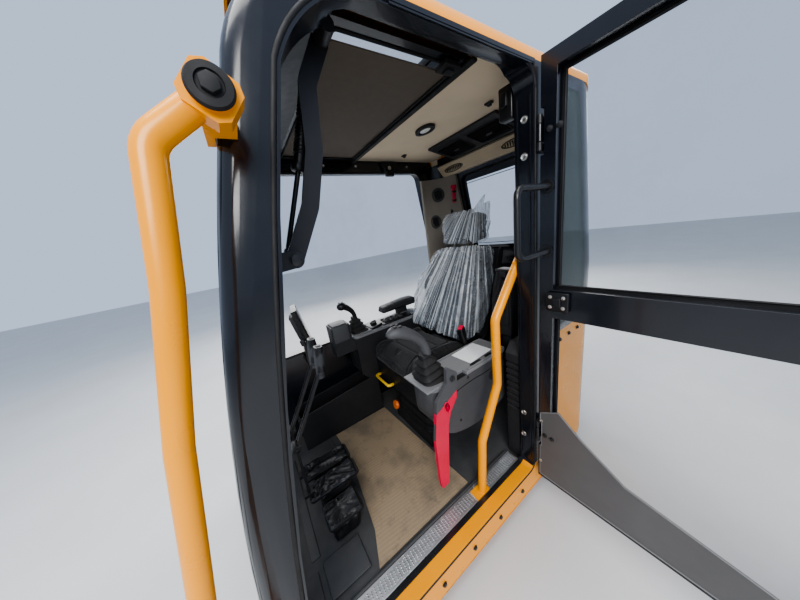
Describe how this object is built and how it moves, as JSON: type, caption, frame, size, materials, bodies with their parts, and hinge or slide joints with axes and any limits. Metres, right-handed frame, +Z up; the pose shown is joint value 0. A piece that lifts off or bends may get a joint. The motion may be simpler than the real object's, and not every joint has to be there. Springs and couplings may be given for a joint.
{
  "type": "crawler excavator operator's cab",
  "caption": "Operator's cab of a crawler excavator with its door open: glazed steel shell, roof hatch, suspended seat, side consoles, joysticks and pedals.",
  "frame": {"origin": "centre of the four cab mounts' bolt holes, on the mounts' underside", "axes": "+X to the operator's left, the door side; -Y forward; +Z up"},
  "size_m": [1.9812, 1.657, 1.7383],
  "materials": {
    "cab_black": "satin black paint",
    "base_paint": "black primer",
    "body_yellow": "gloss yellow paint",
    "glass": "clear",
    "rubber": "matt",
    "liner_beige": "felted liner",
    "dark_plastic": "grained",
    "grey_plastic": "grained",
    "steel": "black painted steel",
    "tread_alloy": "dimpled",
    "seat_fabric": "woven cloth",
    "card": "corrugated card",
    "lever_red": "moulded grip"
  },
  "bodies": {
    "cab": {"armrest_right": "seat_fabric", "base_frame": "base_paint", "cab_mounts": "rubber", "console_covers": "grey_plastic", "console_left": "grey_plastic", "console_right": "grey_plastic", "floor_mat": "rubber", "floor_sheet": "card", "front_frame": "cab_black", "gas_strut": "cab_black", "glass_hammer": "lever_red", "grab_bar": "body_yellow", "handrail": "body_yellow", "hatch_blind": "dark_plastic", "hatch_curb": "cab_black", "headliner": "liner_beige", "hinge_plates": "cab_black", "interior_light": "dark_plastic", "joystick_boots": "rubber", "joystick_grips": "dark_plastic", "lift_arm": "cab_black", "monitor": "dark_plastic", "pedal_gaiters": "rubber", "pedals": "rubber", "pillar_trims": "grey_plastic", "quarter_window": "glass", "rear_box": "dark_plastic", "rear_frame": "cab_black", "rear_header": "liner_beige", "rear_window": "glass", "right_window": "glass", "roof_cap": "body_yellow", "seat_base": "dark_plastic", "seat_cushion": "seat_fabric", "seat_pan": "steel", "side_cover_left": "dark_plastic", "side_frame_left": "cab_black", "side_frame_right": "cab_black", "side_panel_left": "body_yellow", "side_panel_right": "body_yellow", "storage_trough": "dark_plastic", "travel_levers": "steel", "tread_plate": "tread_alloy", "vent_panel": "dark_plastic", "windscreen_lower": "glass", "windscreen_upper": "glass"},
    "door": {"door_frame": "cab_black", "door_glass_upper": "glass", "door_glass_lower": "glass", "door_trim": "grey_plastic", "door_handle": "steel", "door_latch": "dark_plastic"},
    "roof_hatch": {"hatch_rim": "dark_plastic", "hatch_pane": "glass"},
    "safety_lever": {"safety_lever": "lever_red"},
    "seat_back": {"seat_shell": "dark_plastic", "seat_back": "seat_fabric", "headrest": "seat_fabric", "headrest_posts": "steel"}
  },
  "joints": [
    {"name": "door_hinge", "type": "hinge", "parent": "cab", "child": "door", "pos_m": [0.51, 0.191, 0.87], "axis": [0, 0, 1], "range_deg": [-90, 0]},
    {"name": "hatch_hinge", "type": "hinge", "parent": "cab", "child": "roof_hatch", "pos_m": [0, 0.06, 1.7273], "axis": [1, 0, 0], "range_deg": [-70, 0]},
    {"name": "lever_pivot", "type": "hinge", "parent": "cab", "child": "safety_lever", "pos_m": [0.353, -0.108, 0.7], "axis": [1, 0, 0], "range_deg": [-50, 0]},
    {"name": "seat_recline", "type": "hinge", "parent": "cab", "child": "seat_back", "pos_m": [-0.03, 0.275, 0.6], "axis": [1, 0, 0], "range_deg": [-15, 5]}
  ]
}
